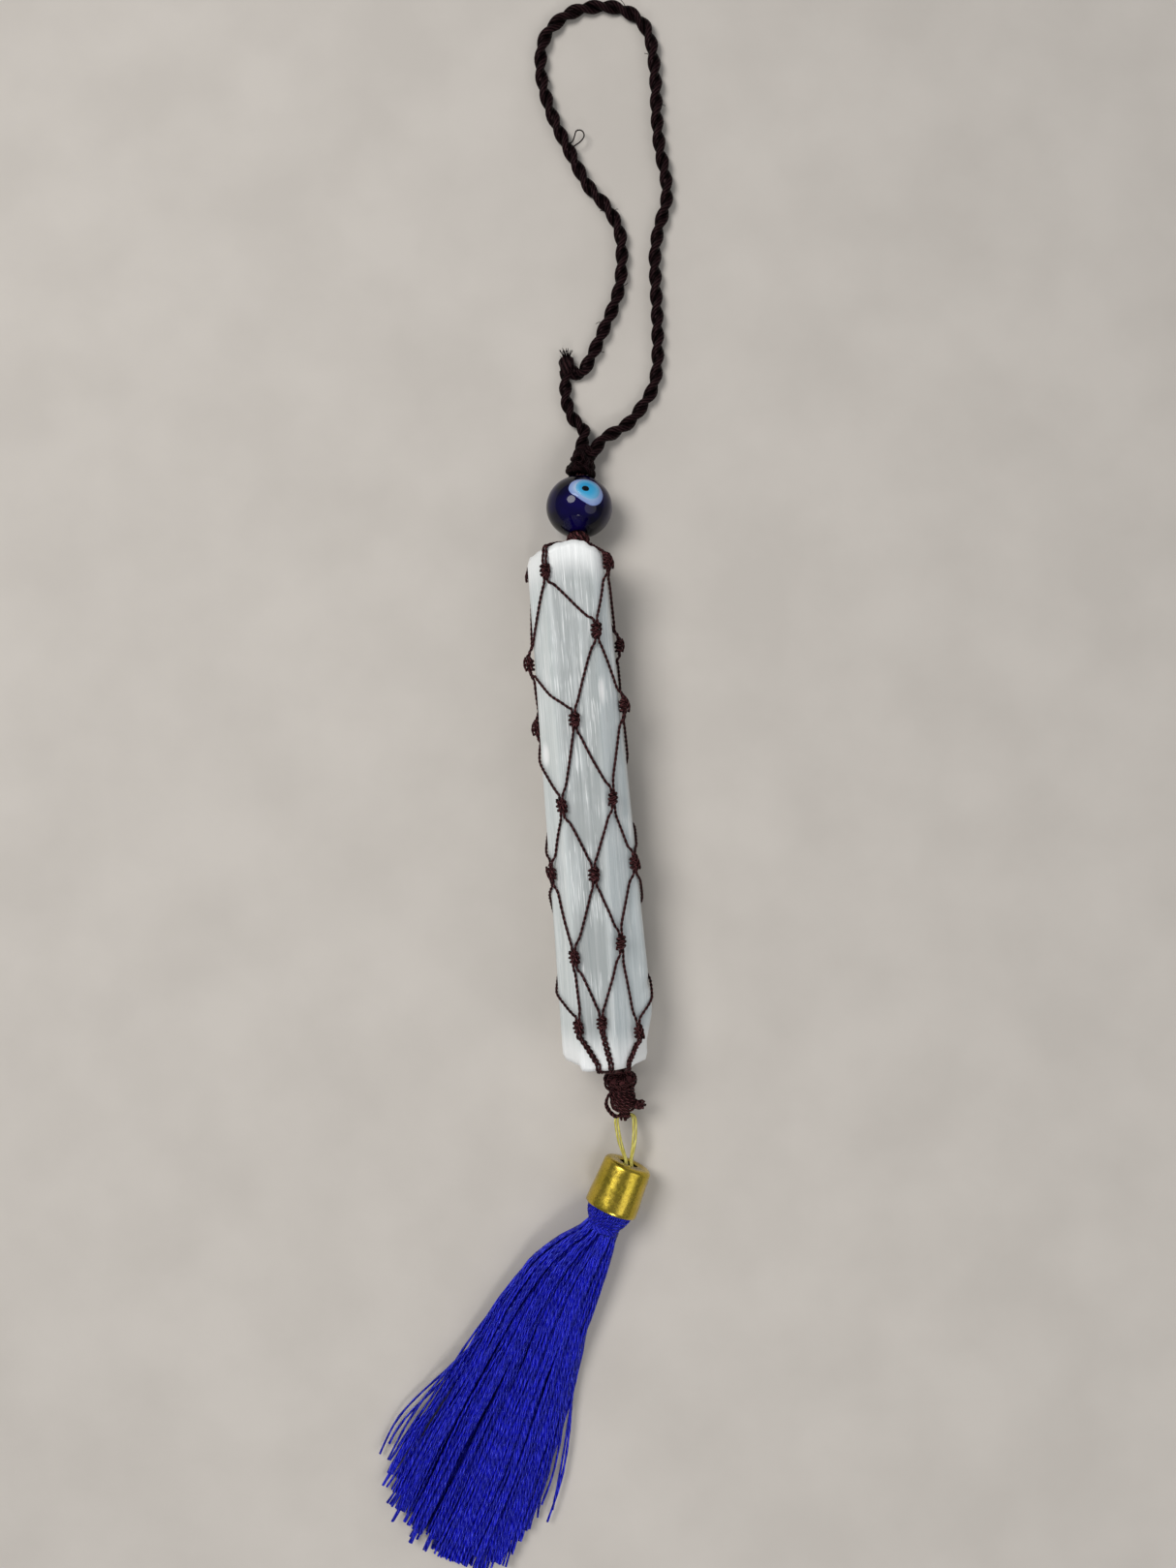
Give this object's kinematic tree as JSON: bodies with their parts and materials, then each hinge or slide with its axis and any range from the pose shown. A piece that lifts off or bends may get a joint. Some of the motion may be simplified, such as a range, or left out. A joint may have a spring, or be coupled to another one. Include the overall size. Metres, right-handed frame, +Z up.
{
  "type": "evil eye ornament",
  "caption": "Hanging ornament: a selenite stick in a knotted cord net, with a glass eye bead and cord loop above, and a gold cord loop, metal cap and silk tassel below.",
  "frame": {"origin": "on the surface the ornament lies on, under the middle of its box without the hanging loop's cord", "axes": "+Z up from the surface it lies on, +Y along the stick towards the hanging loop, +X to the right of it seen from above"},
  "size_m": [0.0721, 0.2993, 0.0189],
  "materials": {
    "selenite": "raw fibrous crystal, pearly sheen",
    "net_cord": "twisted waxed cord, dark red-brown",
    "cobalt_glass": "glossy lampwork glass",
    "eye_white": "glossy opaque glass",
    "eye_blue": "glossy opaque glass",
    "eye_black": "glossy opaque glass",
    "gold_cord": "shiny pale gold cord",
    "cap_metal": "drawn, brushed gold-coloured metal",
    "tassel_silk": "shiny silky thread, royal blue"
  },
  "bodies": {
    "stick": {"selenite_stick": "selenite", "net_strand_1": "net_cord", "net_strand_2": "net_cord", "net_strand_3": "net_cord", "net_strand_4": "net_cord", "net_strand_5": "net_cord", "net_strand_6": "net_cord", "net_strand_7": "net_cord", "net_strand_8": "net_cord", "net_knot_1_1": "net_cord", "net_knot_1_2": "net_cord", "net_knot_1_3": "net_cord", "net_knot_1_4": "net_cord", "net_knot_2_1": "net_cord", "net_knot_2_2": "net_cord", "net_knot_2_3": "net_cord", "net_knot_2_4": "net_cord", "net_knot_3_1": "net_cord", "net_knot_3_2": "net_cord", "net_knot_3_3": "net_cord", "net_knot_3_4": "net_cord", "net_knot_4_1": "net_cord", "net_knot_4_2": "net_cord", "net_knot_4_3": "net_cord", "net_knot_4_4": "net_cord", "net_knot_5_1": "net_cord", "net_knot_5_2": "net_cord", "net_knot_5_3": "net_cord", "net_knot_5_4": "net_cord", "net_knot_6_1": "net_cord", "net_knot_6_2": "net_cord", "net_knot_6_3": "net_cord", "net_knot_6_4": "net_cord", "net_knot_7_1": "net_cord", "net_knot_7_2": "net_cord", "net_knot_7_3": "net_cord", "net_knot_7_4": "net_cord"},
    "neck": {"neck_cords": "net_cord", "top_knot": "net_cord"},
    "bead": {"bead_glass": "cobalt_glass", "eye_front_white": "eye_white", "eye_front_iris": "eye_blue", "eye_front_pupil": "eye_black", "eye_back_white": "eye_white", "eye_back_iris": "eye_blue", "eye_back_pupil": "eye_black"},
    "loop": {"loop_cord": "net_cord", "loop_leg": "net_cord", "loop_join": "net_cord"},
    "wrap": {"wrap_core": "net_cord", "wrap_coil": "net_cord", "wrap_eye": "net_cord", "wrap_side_loop": "net_cord"},
    "gold_loop": {"gold_loop": "gold_cord", "gold_stopper": "gold_cord"},
    "tassel": {"tassel_cap": "cap_metal", "tassel_head": "tassel_silk", "tassel_binding": "tassel_silk", "tassel_skirt": "tassel_silk"}
  },
  "joints": [
    {"name": "neck_swing", "type": "hinge", "parent": "stick", "child": "neck", "pos_m": [0.0208, 0.08935, 0.0084], "axis": [1, 0, 0], "range_deg": [-7, 44]},
    {"name": "bead_spin", "type": "hinge", "parent": "neck", "child": "bead", "pos_m": [0.02154, 0.09585, 0.0062], "axis": [0.1073, 0.9417, -0.3188], "continuous": true},
    {"name": "loop_swing", "type": "hinge", "parent": "neck", "child": "loop", "pos_m": [0.02248, 0.10409, 0.00341], "axis": [0, 0, 1], "range_deg": [-45, 45]},
    {"name": "wrap_swing", "type": "hinge", "parent": "stick", "child": "wrap", "pos_m": [0.0207, -0.00995, 0.0082], "axis": [0, 0, 1], "range_deg": [-20, 20]},
    {"name": "gold_loop_swing", "type": "hinge", "parent": "wrap", "child": "gold_loop", "pos_m": [0.02116, -0.01882, 0.00406], "axis": [1, 0, 0], "range_deg": [-45, 60]},
    {"name": "tassel_swing", "type": "hinge", "parent": "gold_loop", "child": "tassel", "pos_m": [0.02116, -0.02776, 0.00505], "axis": [0, 0, 1], "range_deg": [-9, 62]}
  ]
}
